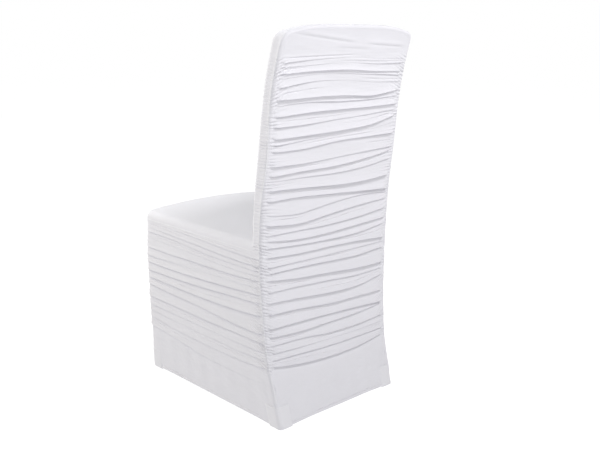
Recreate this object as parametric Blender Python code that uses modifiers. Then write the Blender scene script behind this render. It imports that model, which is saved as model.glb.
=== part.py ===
"""Ruched stretch cover for a high-backed dining chair, hollow, in the shape it takes on the chair.

Metres, +Z up. The sitter faces -Y, +X is the sitter's left, and the origin is on the floor
at the middle of the cover. Each cut piece of cloth is one thin shell, and the pieces meet at seams.
"""

import math

import bmesh
import bpy
import numpy as np
from mathutils import Vector

# Driving dimensions.
HEIGHT = 1.012
SEAT_HEIGHT = 0.481
FRONT = -0.300
FRONT_BULGE = 0.006
BACK_THICKNESS = 0.042
CLOTH = 0.0016
SEAM_GAP = 0.0003

# Roundings of the chair under the cloth.
REAR_CORNER = 0.008
BACK_FRONT_CORNER = 0.012
TOP_CORNER = 0.028
TOP_SAG = 0.014
SEAT_EDGE = 0.020
SEAT_CORNER = 0.034
SKIRT_CORNER = 0.016
SEAT_BOW = 0.013
SEAT_CROWN = 0.008
SEAM_LIP = 0.002
CORNER_CLEARANCE = 0.0015

# Hem and foot pockets.
HEM_RISE = 0.004
HEM_FOOT = 0.0017
HEM_DEPTH = 0.012
HEM_GROOVE = 0.0006
HEM_STITCH = 0.003
PLAIN_BAND = 0.060
FOOT_SPAN = 0.11
POCKET_HEIGHT = 0.058
POCKET_REACH = 0.034
POCKET_CLOTH = 0.0012
POCKET_GAP = 0.0004

SEAT_SEAM = SEAT_HEIGHT - SEAT_EDGE - SEAM_LIP
TUCK = 0.012

# Rows: height, distance behind the origin of the rear face. The rear legs splay and the back leans.
REAR_PROFILE = (
    (0.000, 0.2770),
    (0.070, 0.2585),
    (0.135, 0.2410),
    (0.240, 0.2275),
    (0.360, 0.2220),
    (0.480, 0.2215),
    (0.580, 0.2262),
    (0.700, 0.2385),
    (0.830, 0.2535),
    (0.905, 0.2670),
    (0.960, 0.2815),
    (1.018, 0.3000),
)

# Rows: height, half of the width there.
WIDTH_PROFILE = (
    (0.000, 0.2175),
    (0.100, 0.2225),
    (0.300, 0.2300),
    (0.483, 0.2350),
    (0.750, 0.2330),
    (0.900, 0.2310),
    (1.018, 0.2300),
)

# Creases of the rear panel, from the top. Columns: height in mm at the left seam, left quarter,
# middle, right quarter and right seam, then the depth in mm at the left, middle and right.
REAR_CREASES = (
    (931, 938, 941, 937, 936, 2.0, 0.2, 0.6),
    (920, 925, 928, 924, 925, 1.8, 0.2, 2.4),
    (905, 911, 912, 905, 902, 2.6, 3.4, 1.6),
    (892, 901, 901, 896, 892, 0.6, 0.6, 3.2),
    (872, 885, 884, 876, 874, 2.8, 0.2, 1.2),
    (844, 847, 847, 842, 854, 3.0, 2.6, 2.8),
    (828, 834, 831, 831, 836, 0.6, 2.2, 1.4),
    (802, 809, 811, 812, 815, 2.6, 3.6, 3.4),
    (777, 779, 785, 791, 799, 2.8, 1.0, 1.8),
    (749, 752, 756, 763, 784, 3.0, 3.6, 3.0),
    (732, 739, 743, 748, 762, 2.6, 0.4, 0.4),
    (717, 718, 728, 731, 733, 2.6, 2.4, 3.6),
    (682, 680, 684, 690, 696, 3.0, 1.0, 1.8),
    (656, 660, 662, 671, 686, 3.0, 3.6, 3.2),
    (641, 643, 642, 647, 662, 0.6, 1.8, 1.6),
    (621, 617, 611, 610, 616, 3.2, 4.0, 3.2),
    (593, 593, 587, 581, 576, 2.2, 3.2, 3.6),
    (556, 549, 561, 568, 564, 0.8, 1.6, 1.8),
    (532, 523, 532, 541, 546, 3.6, 2.6, 2.0),
    (505, 503, 503, 508, 520, 1.8, 2.0, 2.0),
    (491, 481, 481, 486, 492, 2.6, 3.6, 3.0),
    (472, 465, 461, 462, 474, 2.2, 3.0, 2.4),
    (448, 442, 441, 438, 432, 2.6, 3.2, 3.2),
    (421, 419, 418, 418, 419, 2.2, 1.6, 1.6),
    (404, 404, 400, 397, 403, 2.6, 3.6, 3.0),
    (388, 376, 369, 361, 360, 3.2, 3.6, 3.6),
    (355, 352, 346, 339, 341, 1.8, 2.0, 1.8),
    (328, 321, 312, 309, 322, 2.6, 3.0, 2.4),
    (297, 291, 281, 277, 275, 2.8, 3.0, 2.4),
    (259, 256, 251, 246, 241, 2.8, 2.6, 3.0),
    (236, 229, 228, 229, 234, 3.2, 3.2, 2.8),
    (212, 208, 198, 196, 201, 1.8, 2.2, 2.0),
    (192, 184, 180, 178, 180, 2.2, 0.8, 1.2),
    (173, 167, 162, 161, 161, 2.2, 2.6, 2.2),
    (157, 141, 133, 134, 145, 3.2, 3.0, 2.6),
)

# Creases of a side panel, from the top. Columns: height in mm at the front seam, front quarter,
# middle, rear quarter and rear seam, then the depth in mm at the front, middle and rear.
SIDE_CREASES = (
    (458, 454, 449, 444, 440, 0.8, 2.0, 2.0),
    (440, 436, 431, 425, 423, 0.6, 2.4, 2.8),
    (428, 424, 415, 411, 410, 2.6, 1.6, 2.4),
    (408, 405, 400, 396, 398, 0.4, 0.8, 1.8),
    (380, 379, 380, 381, 386, 1.6, 2.4, 2.8),
    (354, 356, 358, 362, 366, 2.2, 0.4, 1.2),
    (335, 334, 337, 343, 350, 2.8, 2.8, 2.8),
    (310, 311, 315, 321, 327, 2.6, 2.6, 2.4),
    (288, 286, 285, 287, 294, 2.6, 2.6, 2.4),
    (267, 260, 255, 247, 244, 2.4, 2.2, 2.4),
    (228, 226, 222, 221, 220, 2.0, 2.0, 2.4),
    (204, 199, 196, 194, 196, 1.8, 0.8, 1.8),
    (184, 178, 174, 172, 174, 1.6, 1.0, 1.8),
    (166, 153, 147, 146, 153, 2.2, 1.2, 1.8),
    (138, 124, 108, 104, 108, 2.0, 1.0, 0.2),
)

# The hidden front is gathered at the same seams, with creases at an even spacing that wanders.
FRONT_GATHER_END = 0.130
FRONT_CREASE_STEP = 0.030
FRONT_CREASE_WANDER = 0.005
FRONT_CREASE_DEPTH = 2.2
RIGHT_SHIFT = 0.005

# Heights between which the rear panel is gathered.
REAR_GATHER_TOP, REAR_GATHER_END = 0.945, 0.100

MILLIMETRE = 0.001
# The creases' heights were read on a ruler laid over each panel. Rows: the ruler's scale, where it
# starts in mm, and how much higher it stands in mm at the end of a crease than at its middle.
REAR_RULER = (0.9856, 4.1, 0.0)
SIDE_RULER = (0.9907, 1.4, 2.2)

# Puffs and creases in the cloth: the ridge's share of a crease's depth, and where a puff rises and
# where its ridge lies, as shares of the way from the crease above to the crease itself.
RIDGE_SHARE = 0.55
RISE_AT, RIDGE_AT = 0.42, 0.78
BOXING_PUFF = 0.0009

# Where the five heights of a crease lie across its panel, the columns of the panels' grids, and the
# places along half of the crown where its edge has points.
STATIONS = (-1.0, -0.5, 0.0, 0.5, 1.0)
BACK_COLUMNS = (-1.0, -0.95, -0.75, -0.5, -0.25, 0.0, 0.25, 0.5, 0.75, 0.95, 1.0)
INSIDE_COLUMNS = (-1.0, -0.9, -0.45, 0.0, 0.45, 0.9, 1.0)
REAR_TOP_ROWS = (0.25, 0.5, 0.7, 0.85, 1.0)
CROWN_SHARES = (0.95, 0.9, 0.75, 0.45, 0.0)

# Steps along and round the pieces.
ARC_STEPS = 3
SMALL_ARC_STEPS = 2
SIDE_STEPS = 5
SEAT_SIDE_STEPS = 3
SEAT_EDGE_STEPS = 4
BOXING_STEPS = 22

# Rows: how far in from the outline of the seat, share of the crown's rise there.
SEAT_CROWN_ROWS = ((0.060, 0.5), (0.110, 0.85), (0.160, 1.0))

# Points in the spaces that the panels cover.
SEAT_INSIDE = (0.0, -0.05, 0.20)
BACK_INSIDE = (0.0, 0.225, 0.75)
BACK_REAR = (0.0, 0.50, 0.75)

WHITE = (0.90, 0.90, 0.92, 1.0)


def curve_through(rows):
    """A smooth function through (position, value) rows, as cubic pieces with averaged slopes."""
    at, value = np.array(sorted(rows), float).T
    slope = np.gradient(value, at)

    def f(x):
        x = min(max(x, at[0]), at[-1])
        k = min(int(np.searchsorted(at, x, side="right")) - 1, len(at) - 2)
        span = at[k + 1] - at[k]
        t = (x - at[k]) / span
        start = value[k] * (1 + 2 * t) * (1 - t) ** 2 + slope[k] * span * t * (1 - t) ** 2
        end = value[k + 1] * t * t * (3 - 2 * t) - slope[k + 1] * span * t * t * (1 - t)
        return float(start + end)

    return f


rear_face = curve_through(REAR_PROFILE)
half_width = curve_through(WIDTH_PROFILE)


def front_face(z):
    """The front of the backrest at a height."""
    return rear_face(z) - BACK_THICKNESS


def smooth_step(x, start, end):
    """0 before start, 1 after end, and a soft rise between them."""
    t = min(max((x - start) / (end - start), 0.0), 1.0)
    return t * t * (3 - 2 * t)


def front_corner(z):
    """Radius in plan of the front corners, which swell towards the seat."""
    return SKIRT_CORNER + (SEAT_CORNER - SKIRT_CORNER) * smooth_step(z, 0.30, SEAT_SEAM)


def front_line(z):
    """The front of the skirt at a height, pushed out a little by the seat cushion."""
    return FRONT - FRONT_BULGE * smooth_step(z, 0.28, 0.42)


def hem_height(distance, length):
    """The hem stands on each foot and is drawn up a little between two feet."""
    from_foot = min(distance, length - distance)
    return HEM_FOOT + (HEM_RISE - HEM_FOOT) * smooth_step(from_foot, 0.0, FOOT_SPAN)


def back_width(z, inset):
    """Half of the width of the backrest at a height, inset from its outline, with round top corners."""
    corner = HEIGHT - TOP_SAG - TOP_CORNER
    radius = TOP_CORNER - inset
    if z <= corner:
        return half_width(z) - inset
    up = min((z - corner) / radius, 1.0)
    return half_width(corner) - TOP_CORNER + radius * math.sqrt(1 - up * up)


def top_edge(x, inset):
    """Height of the top edge of the backrest, inset from its outline: nearly flat, and low at its ends."""
    flat = half_width(HEIGHT) - TOP_CORNER
    return HEIGHT - TOP_SAG * min(abs(x) / flat, 1.0) ** 4 - inset


class Row:
    """One line of points across a panel: its height and its relief, as functions of the share across."""

    def __init__(self, height, relief):
        self.height = height
        self.relief = relief


def plain_row(height):
    """A level row with no relief."""
    return Row(lambda share: height, lambda share: 0.0)


def groove_row(height, depth):
    """A level row pressed in by a line of stitching."""
    return Row(lambda share: height, lambda share: -depth)


def hem_rows():
    """The plain foot of a skirt panel: its smooth band, its line of hem stitching and its edge."""
    levels = (0.0, HEM_DEPTH - HEM_STITCH, HEM_DEPTH + HEM_STITCH, PLAIN_BAND)
    return [plain_row(level) for level in levels] + [groove_row(HEM_DEPTH, HEM_GROOVE)]


def measured(crease, ruler):
    """A crease with its true heights in mm, from its readings on a ruler."""
    scale, start, tilt = ruler
    return [h * scale + start + tilt * s for h, s in zip(crease[:5], STATIONS)] + list(crease[5:])


def crease_rows(creases, top):
    """Three rows for each crease: the rise of the puff above it, its ridge, and the crease itself.

    Gathered cloth sags, so each puff has a long upper slope and a ridge close above its crease.
    """
    rows = []
    above = curve_through([(s, top) for s in STATIONS])
    for crease in creases:
        line = curve_through(zip(STATIONS, (h * MILLIMETRE for h in crease[:5])))
        deep = curve_through(zip(STATIONS[::2], (d * MILLIMETRE for d in crease[5:])))

        def between(share, part, above=above, line=line):
            return above(share) + (line(share) - above(share)) * part

        def ridge(share, part, deep=deep):
            return deep(share) * RIDGE_SHARE * part

        rows.append(Row(lambda s, b=between: b(s, RISE_AT), lambda s, r=ridge: r(s, 0.35)))
        rows.append(Row(lambda s, b=between: b(s, RIDGE_AT), lambda s, r=ridge: r(s, 1.0)))
        rows.append(Row(line, lambda s, r=ridge: -r(s, 0.85)))
        above = line
    return rows


def even_creases(top, bottom):
    """A table of evenly spaced creases for a gathered panel that the view doesn't show."""
    count = int((top - bottom) / FRONT_CREASE_STEP)
    table = []
    for k in range(1, count + 1):
        middle = top - (top - bottom) * (k - 0.3) / count
        wander = [FRONT_CREASE_WANDER * math.sin(1.9 * k + 1.3 * s) for s in range(5)]
        depth = [FRONT_CREASE_DEPTH * (0.8 + 0.3 * math.cos(2.3 * k + 2.1 * s)) for s in range(3)]
        table.append([(middle + w) / MILLIMETRE for w in wander] + depth)
    return table


def shell(name, points, cloth, material, inside, closing=False):
    """A grid of points, row by row, as a thin shell. Its thickness goes from these points inwards.

    Inside is a point in the space that the shell covers. Closing fills in the last row with a flat face.
    """
    down, across = len(points), len(points[0])
    bpy.ops.mesh.primitive_grid_add(x_subdivisions=across - 1, y_subdivisions=down - 1, size=1)
    obj = bpy.context.object
    obj.name = obj.data.name = name
    for k, vertex in enumerate(obj.data.vertices):
        vertex.co = points[k // across][k % across]
    form = bmesh.new()
    form.from_mesh(obj.data)
    if closing:
        form.verts.ensure_lookup_table()
        bmesh.ops.contextual_create(form, geom=form.verts[-across:])
        bmesh.ops.recalc_face_normals(form, faces=form.faces)
    form.normal_update()
    away = sum(f.normal.dot(f.calc_center_median() - Vector(inside)) * f.calc_area() for f in form.faces)
    if away < 0:
        bmesh.ops.reverse_faces(form, faces=form.faces)
    form.to_mesh(obj.data)
    form.free()
    return thicken(obj, cloth, material)


def thicken(obj, cloth, material):
    """Gives an open surface its thickness, its material and smooth shading, in the cover's collection."""
    solid = obj.modifiers.new("Thickness", "SOLIDIFY")
    solid.thickness = cloth
    solid.offset = -1
    obj.data.materials.append(material)
    obj.data.shade_smooth()
    obj.data.set_sharp_from_angle(angle=math.radians(40))
    for collection in list(obj.users_collection):
        collection.objects.unlink(obj)
    bpy.data.collections["stretch_chair_cover"].objects.link(obj)
    return obj


def fade(share, edge):
    """Relief dies away at a seam, which holds the cloth flat."""
    return min(1.0, (1 - abs(share)) / edge)


def back_panel_points(rows, columns, inset, face, outwards, bottom):
    """Points of a panel on the rear or the front of the backrest, from its bottom row to its top edge.

    Share -1 is the right seam and 1 the left seam. The top rows bend up into the crowned edge.
    """
    corner = HEIGHT - TOP_SAG - TOP_CORNER
    ordered = sorted(rows, key=lambda row: row.height(0.0))
    start = ordered[-1].height
    points = []
    for row in ordered:
        line = []
        for share in columns:
            height = max(row.height(share), bottom(share)) if row is ordered[0] else row.height(share)
            x = share * back_width(height, inset)
            line.append((x, face(height) + outwards * row.relief(share) * fade(share, 0.05), height))
        points.append(line)
    for step in REAR_TOP_ROWS:
        line = []
        side = start(1.0) + (corner + TOP_CORNER - inset - start(1.0)) * step
        width = back_width(side, inset)
        for share in columns:
            x = share * width
            edge = top_edge(x, inset) - top_edge(width, inset)
            base = start(share) + (side - start(1.0))
            height = base + (side + edge - base) * step
            line.append((x, face(height), height))
        points.append(line)
    return points


def side_section(z):
    """Plan section of the left side at a height, from the front lip to the rear lip.

    Each point comes with its outward direction. The piece wraps the corners and ends on the next face.
    """
    width, rear, corner = half_width(z), rear_face(z), front_corner(z)
    turns = [math.pi / 2 * k / ARC_STEPS for k in range(ARC_STEPS + 1)]
    front = front_line(z)
    section = [((width - corner - SEAM_LIP, front), (0.0, -1.0))]
    for a in turns:
        direction = (math.sin(a), -math.cos(a))
        centre = (width - corner, front + corner)
        section.append(((centre[0] + corner * direction[0], centre[1] + corner * direction[1]), direction))
    start, end = front + corner, rear - REAR_CORNER
    for k in range(1, SIDE_STEPS):
        section.append(((width, start + (end - start) * k / SIDE_STEPS), (1.0, 0.0)))
    for a in (math.pi / 2 * k / SMALL_ARC_STEPS for k in range(SMALL_ARC_STEPS + 1)):
        direction = (math.cos(a), math.sin(a))
        centre = (width - REAR_CORNER, end)
        at = (centre[0] + REAR_CORNER * direction[0], centre[1] + REAR_CORNER * direction[1])
        section.append((at, direction))
    section.append(((width - REAR_CORNER - SEAM_LIP, rear), (0.0, 1.0)))
    return section


def side_panel(name, side, material):
    """A side of the seat and skirt, gathered at both vertical seams. Side is 1 on the left."""
    shift = 0.0 if side > 0 else RIGHT_SHIFT / MILLIMETRE
    creases = [
        [h - shift * math.sin(0.9 * k) for h in crease[:5]] + list(crease[5:])
        for k, crease in enumerate(measured(reading, SIDE_RULER) for reading in SIDE_CREASES)
    ]
    rows = crease_rows(creases, SEAT_SEAM) + hem_rows()
    rows.append(plain_row(SEAT_SEAM))
    rows.sort(key=lambda row: row.height(0.0))
    length = rear_face(0.0) - FRONT
    points = []
    for row in rows:
        line = []
        level = side_section(row.height(0.0))
        columns = len(level)
        for k in range(columns):
            y = level[k][0][1]
            share = (y - level[0][0][1]) / (level[-1][0][1] - level[0][0][1]) * 2 - 1
            height = row.height(share)
            if row is rows[0]:
                height = hem_height((share + 1) / 2 * length, length)
            (x, y), (across, along) = side_section(height)[k]
            lip = k in (0, 1, columns - 2, columns - 1)
            relief = 0.0 if lip else row.relief(share)
            line.append((side * (x + relief * across), y + relief * along, height))
        points.append(line if side > 0 else line[::-1])
    return shell(name, points, CLOTH, material, SEAT_INSIDE)


def rear_panel(material):
    """The whole back of the cover, from the crown seam to the hem, gathered at both side seams."""
    inset = REAR_CORNER + SEAM_LIP + 2 * SEAM_GAP
    creases = [measured(reading, REAR_RULER) for reading in REAR_CREASES]
    mirrored = [c[4::-1] + c[:4:-1] for c in creases]
    rows = crease_rows(mirrored, REAR_GATHER_TOP) + hem_rows()
    rows += [plain_row(REAR_GATHER_TOP), plain_row(REAR_GATHER_END)]
    width = 2 * half_width(0.0)
    points = back_panel_points(
        rows, BACK_COLUMNS, inset, rear_face, 1.0, lambda s: hem_height((s + 1) / 2 * width, width)
    )
    return shell("rear_panel", points, CLOTH, material, SEAT_INSIDE)


def inside_back(material):
    """The front of the backrest, from the crown seam down to the crevice behind the seat."""
    inset = BACK_FRONT_CORNER + SEAM_LIP + 2 * SEAM_GAP
    bottom = SEAT_HEIGHT - TUCK
    rows = crease_rows(even_creases(REAR_GATHER_TOP, SEAT_HEIGHT + TUCK), REAR_GATHER_TOP)
    rows += [plain_row(REAR_GATHER_TOP), plain_row(bottom)]
    points = back_panel_points(rows, INSIDE_COLUMNS, inset, front_face, -1.0, lambda s: bottom)
    return shell("inside_back", points, CLOTH, material, BACK_REAR)


def front_skirt(material):
    """The front of the skirt, from the seam under the seat edge to the hem."""
    start = SEAT_SEAM - TUCK / 2
    rows = crease_rows(even_creases(start - TUCK / 2, FRONT_GATHER_END), start) + hem_rows()
    rows.append(plain_row(SEAT_SEAM))
    rows.sort(key=lambda row: row.height(0.0))
    points = []
    for row in rows:
        line = []
        for share in INSIDE_COLUMNS:
            height = row.height(share)
            if row is rows[0]:
                height = hem_height((share + 1) * half_width(0.0), 2 * half_width(0.0))
            width = half_width(height) - front_corner(height) - SEAM_LIP - SEAM_GAP
            front = front_line(height) - row.relief(share) * fade(share, 0.1)
            line.append((share * width, front, height))
        points.append(line)
    return shell("front_skirt", points, CLOTH, material, SEAT_INSIDE)


def boxing_strip(material):
    """One long strip that edges the backrest: up the left side, over the crown and down the right."""
    bottom = SEAT_SEAM + SEAM_GAP
    corner = HEIGHT - TOP_SAG - TOP_CORNER
    flat = half_width(HEIGHT) - TOP_CORNER
    path = []
    rises = BOXING_STEPS
    for k in range(rises):
        z = bottom + (corner - bottom) * k / rises
        path.append((half_width(z), z, 1.0, 0.0, 1.0 if k else 0.0))
    for k in range(2 * ARC_STEPS + 1):
        a = math.pi / 4 * k / ARC_STEPS
        x, z = flat + TOP_CORNER * math.cos(a), corner + TOP_CORNER * math.sin(a)
        path.append((x, z, math.cos(a), math.sin(a), 0.0))
    for share in CROWN_SHARES:
        x = flat * share
        path.append((x, top_edge(x, 0.0), 0.0, 1.0, 0.0))
    right = [(-x, z, -a, b, gathered) for x, z, a, b, gathered in path[-2::-1]]
    points = []
    for k, (x, z, across, up, gathered) in enumerate(path + right):
        puff = gathered * BOXING_PUFF * (1 if k % 2 else -1)
        points.append(boxing_section(x, z, across, up, puff))
    return shell("boxing_strip", points, CLOTH, material, BACK_INSIDE)


def boxing_section(x, z, across, up, puff):
    """Points round the strip at one place: rear lip, rear corner, edge of the back, front corner, lip."""
    rear = [(REAR_CORNER + SEAM_LIP, 0.0)] + corner_arc(REAR_CORNER)
    front = [(BACK_FRONT_CORNER + SEAM_LIP, 0.0)] + corner_arc(BACK_FRONT_CORNER)
    line = []
    for inwards, along in rear:
        height = z - up * inwards
        raised = puff if inwards < REAR_CORNER / 2 else 0.0
        line.append((x - across * (inwards - raised), rear_face(height) - along, height + up * raised))
    for inwards, along in reversed(front):
        height = z - up * inwards
        raised = puff if inwards < BACK_FRONT_CORNER / 2 else 0.0
        line.append((x - across * (inwards - raised), front_face(height) + along, height + up * raised))
    return line


def corner_arc(radius):
    """(inwards, along) for a corner, from the lip to the edge."""
    turns = [math.pi / 2 * k / SMALL_ARC_STEPS for k in range(SMALL_ARC_STEPS + 1)]
    return [(radius * (1 - math.sin(a)), radius * (1 - math.cos(a))) for a in turns]


def strip_rounding(inset):
    """How far the strip's round front corner has fallen back at a distance inwards from its side."""
    beside = max(0.0, BACK_FRONT_CORNER - inset)
    return BACK_FRONT_CORNER - math.sqrt(BACK_FRONT_CORNER**2 - beside**2)


def seat_ring(inset, height, rear, bow):
    """A line round the seat, inset by a distance: left side, front with its two corners, right side.

    Bow is how much higher the line is half-way between the left and the right. Each end reaches back
    into the round corner of the strip beside it.
    """
    half = half_width(SEAT_SEAM)
    width = half - inset
    front = front_line(SEAT_SEAM) + inset
    radius = max(SEAT_CORNER - inset, SEAT_CORNER / 5)
    end = rear + strip_rounding(inset + CORNER_CLEARANCE)
    left = []
    for k in range(SEAT_SIDE_STEPS):
        left.append((width, end + (front + radius - end) * k / SEAT_SIDE_STEPS))
    for a in (math.pi / 2 * k / ARC_STEPS for k in range(ARC_STEPS + 1)):
        left.append((width - radius + radius * math.cos(a), front + radius - radius * math.sin(a)))
    right = [(-x, y) for x, y in left[::-1]]
    level = left + [(width / 2, front), (0.0, front), (-width / 2, front)] + right
    return [(x, y, height + bow * (1 - (x / half) ** 2)) for x, y in level]


def seat_panel(material):
    """The top of the seat, with its round edges and its two front corners, down to the seam."""
    rear = min(front_face(SEAT_SEAM + SEAM_LIP * k) for k in range(16)) - 2 * SEAM_GAP
    bottom = SEAT_SEAM + SEAM_GAP
    rings = [seat_ring(0.0, bottom, rear, 0.0)]
    for k in range(SEAT_EDGE_STEPS + 1):
        a = math.pi / 2 * k / SEAT_EDGE_STEPS
        inset = SEAT_EDGE * (1 - math.cos(a))
        bow = SEAT_BOW * math.sin(a)
        rings.append(seat_ring(inset, SEAT_HEIGHT - SEAT_EDGE * (1 - math.sin(a)), rear, bow))
    for inset, share in SEAT_CROWN_ROWS:
        rings.append(seat_ring(inset, SEAT_HEIGHT + SEAT_CROWN * share, rear, SEAT_BOW))
    return shell("seat_panel", rings, CLOTH, material, SEAT_INSIDE, closing=True)


def foot_pocket(name, side, end, material):
    """A doubled cup round one foot: two walls over the corner and a sole under it.

    Side is 1 on the left, and end is 1 at the rear.
    """
    out = POCKET_GAP + POCKET_CLOTH
    points = []
    for z in (POCKET_HEIGHT, POCKET_HEIGHT / 2, 0.0):
        points.append([Vector((*p, z)) for p in pocket_section(z, out, end)])
    wall = points[-1]
    corner = wall[len(wall) // 2]
    heart = corner + (wall[0] + wall[-1] - 2 * corner) * 0.72
    for share in (0.3, 0.62):
        points.append([p + (heart - p) * share for p in wall])
    grid = [[(side * p.x, p.y, p.z) for p in row] for row in points]
    return shell(name, grid, POCKET_CLOTH, material, (side * heart.x, heart.y, POCKET_HEIGHT / 2))


def pocket_section(z, out, end):
    """Plan points of a pocket's wall at a height, from the side face round the corner."""
    width = half_width(z) + out
    radius = (REAR_CORNER if end > 0 else front_corner(z)) + out
    face = rear_face(z) + out if end > 0 else FRONT - out
    centre = (width - radius, face - end * radius)
    turns = [math.pi / 2 * k / ARC_STEPS for k in range(ARC_STEPS + 1)]
    section = [(width, centre[1] - end * POCKET_REACH)]
    section += [(centre[0] + radius * math.cos(a), centre[1] + end * radius * math.sin(a)) for a in turns]
    section.append((centre[0] - POCKET_REACH, face))
    return section


def stretch_cloth(name, colour, roughness):
    """White knitted stretch cloth: matt, with no metal in it."""
    material = bpy.data.materials.new(name)
    material.use_nodes = True
    surface = material.node_tree.nodes["Principled BSDF"]
    surface.inputs["Base Color"].default_value = colour
    surface.inputs["Roughness"].default_value = roughness
    surface.inputs["Metallic"].default_value = 0.0
    return material


def main():
    for obj in list(bpy.data.objects):
        bpy.data.objects.remove(obj)
    cover = bpy.data.collections.new("stretch_chair_cover")
    bpy.context.scene.collection.children.link(cover)

    cloth = stretch_cloth("stretch_cloth", WHITE, 0.6)
    doubled = stretch_cloth("doubled_cloth", (0.92, 0.92, 0.93, 1.0), 0.65)
    rear_panel(cloth)
    inside_back(cloth)
    boxing_strip(cloth)
    seat_panel(cloth)
    front_skirt(cloth)
    side_panel("side_panel_left", 1, cloth)
    side_panel("side_panel_right", -1, cloth)
    for end_name, end in (("rear", 1), ("front", -1)):
        for side_name, side in (("left", 1), ("right", -1)):
            foot_pocket(f"foot_pocket_{end_name}_{side_name}", side, end, doubled)


main()
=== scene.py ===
# %% [markdown]
# A stretch cover for a high-backed dining chair. It is knitted cloth, pulled over the whole chair
# down to the floor. Its back and its skirt are gathered on elastic at their upright seams, so the
# cloth lies there in long uneven folds. The seat and the top stay smooth.
#
# This lesson loads the plain solids of the cover, lays a fine sheet of cloth over each of them, sews
# the sheets together with rolled seams, and lights the whole in a plain studio.

# %% Load the solids
import math

import bpy
import numpy as np
from mathutils import Matrix


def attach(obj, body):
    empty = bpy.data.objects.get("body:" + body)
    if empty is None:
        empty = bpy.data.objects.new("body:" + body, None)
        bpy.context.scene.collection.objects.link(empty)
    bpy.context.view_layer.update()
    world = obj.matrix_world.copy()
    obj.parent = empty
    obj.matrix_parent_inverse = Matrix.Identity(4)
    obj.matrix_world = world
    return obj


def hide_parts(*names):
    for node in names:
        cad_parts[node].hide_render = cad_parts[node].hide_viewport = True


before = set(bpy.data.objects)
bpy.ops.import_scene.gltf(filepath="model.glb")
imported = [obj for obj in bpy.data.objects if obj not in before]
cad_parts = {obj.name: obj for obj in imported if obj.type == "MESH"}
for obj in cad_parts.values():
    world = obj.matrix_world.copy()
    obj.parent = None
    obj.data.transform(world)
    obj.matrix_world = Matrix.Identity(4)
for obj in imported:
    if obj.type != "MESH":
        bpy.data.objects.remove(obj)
bpy.ops.object.select_all(action="DESELECT")
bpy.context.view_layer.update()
print("solids:", sorted(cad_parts))

# %% [markdown]
# The camera comes first, because every fold below is judged through it. It stands behind the chair
# and to the left of the person who would sit there, about as high as the top of the back, and looks down
# by thirteen degrees. Its place and its lens were found by fitting the cover's known corners.

# %% Camera
CAMERA_AT = (1.5234, 1.6989, 1.0036)
LOOKS_ALONG = (-0.67317, -0.70184, -0.23294)
UPWARDS = (-0.15083, -0.17807, 0.97239)
LENS = 49.58


def aim(added, location, along, upwards):
    """Places a camera or a light so that it looks along a direction."""
    back = -np.array(along)
    back /= np.linalg.norm(back)
    right = np.cross(upwards, back)
    right /= np.linalg.norm(right)
    turned = np.eye(4)
    turned[:3] = np.stack([right, np.cross(back, right), back, location], axis=1)
    added.matrix_world = Matrix(turned.tolist())


def place_camera():
    bpy.ops.object.camera_add(location=CAMERA_AT)
    camera = bpy.context.object
    aim(camera, CAMERA_AT, LOOKS_ALONG, UPWARDS)
    camera.data.lens = LENS
    camera.data.sensor_width = 36.0
    bpy.context.scene.camera = camera
    camera.select_set(False)


place_camera()
print("camera at", CAMERA_AT, "with a lens of", LENS, "mm")

# %% [markdown]
# The solids were worked out from a few sizes: the heights of the seat and of the top, the leaning
# profile of the back, and the rounding of each edge. The same sizes place the fine sheets, so each sheet
# lies exactly on its solid. All of them are metres.

# %% Driving sizes
HEIGHT = 1.012
SEAT_HEIGHT = 0.481
FRONT = -0.300
FRONT_BULGE = 0.006
BACK_THICKNESS = 0.042
CLOTH = 0.0012
REAR_CORNER = 0.008
BACK_FRONT_CORNER = 0.012
TOP_CORNER = 0.028
TOP_SAG = 0.014
SEAT_EDGE = 0.020
SEAT_CORNER = 0.034
SKIRT_CORNER = 0.016
SEAT_BOW = 0.013
SEAT_CROWN = 0.008
LIP = 0.002
GAP = 0.0003
CORNER_CLEARANCE = 0.0002
SEAT_SEAM = SEAT_HEIGHT - SEAT_EDGE - LIP
TUCK = 0.012
HEM_RISE = 0.004
HEM_FOOT = 0.0017
HEM_DEPTH = 0.0075
FOOT_SPAN = 0.11
CROWN_SPRING = HEIGHT - TOP_SAG - TOP_CORNER
# A point in the hollow of the skirt, which its sheets face away from.
SKIRT_INSIDE = (0.0, -0.05, 0.20)

# Rows: height, distance of the rear face behind the origin.
REAR_PROFILE = (
    (0.000, 0.2770),
    (0.070, 0.2585),
    (0.135, 0.2410),
    (0.240, 0.2275),
    (0.360, 0.2220),
    (0.480, 0.2215),
    (0.580, 0.2262),
    (0.700, 0.2385),
    (0.830, 0.2535),
    (0.905, 0.2670),
    (0.960, 0.2815),
    (1.018, 0.3000),
)
# Rows: height, half of the width there.
WIDTH_PROFILE = (
    (0.000, 0.2175),
    (0.100, 0.2225),
    (0.300, 0.2300),
    (0.483, 0.2350),
    (0.750, 0.2330),
    (0.900, 0.2310),
    (1.018, 0.2300),
)


def curve_through(rows):
    """A smooth function through (position, value) rows, for a number or an array."""
    at, value = np.array(list(rows), float).T
    slope = np.gradient(value, at)

    def f(x):
        x = np.clip(x, at[0], at[-1])
        k = np.clip(np.searchsorted(at, x, side="right") - 1, 0, len(at) - 2)
        span = at[k + 1] - at[k]
        t = (x - at[k]) / span
        rising = value[k] * (1 + 2 * t) * (1 - t) ** 2 + slope[k] * span * t * (1 - t) ** 2
        return rising + value[k + 1] * t * t * (3 - 2 * t) - slope[k + 1] * span * t * t * (1 - t)

    return f


rear_face = curve_through(REAR_PROFILE)
half_width = curve_through(WIDTH_PROFILE)


def rear_lean(z):
    """How fast the rear face moves backwards with height."""
    return (rear_face(z + 0.002) - rear_face(z - 0.002)) / 0.004


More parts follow.
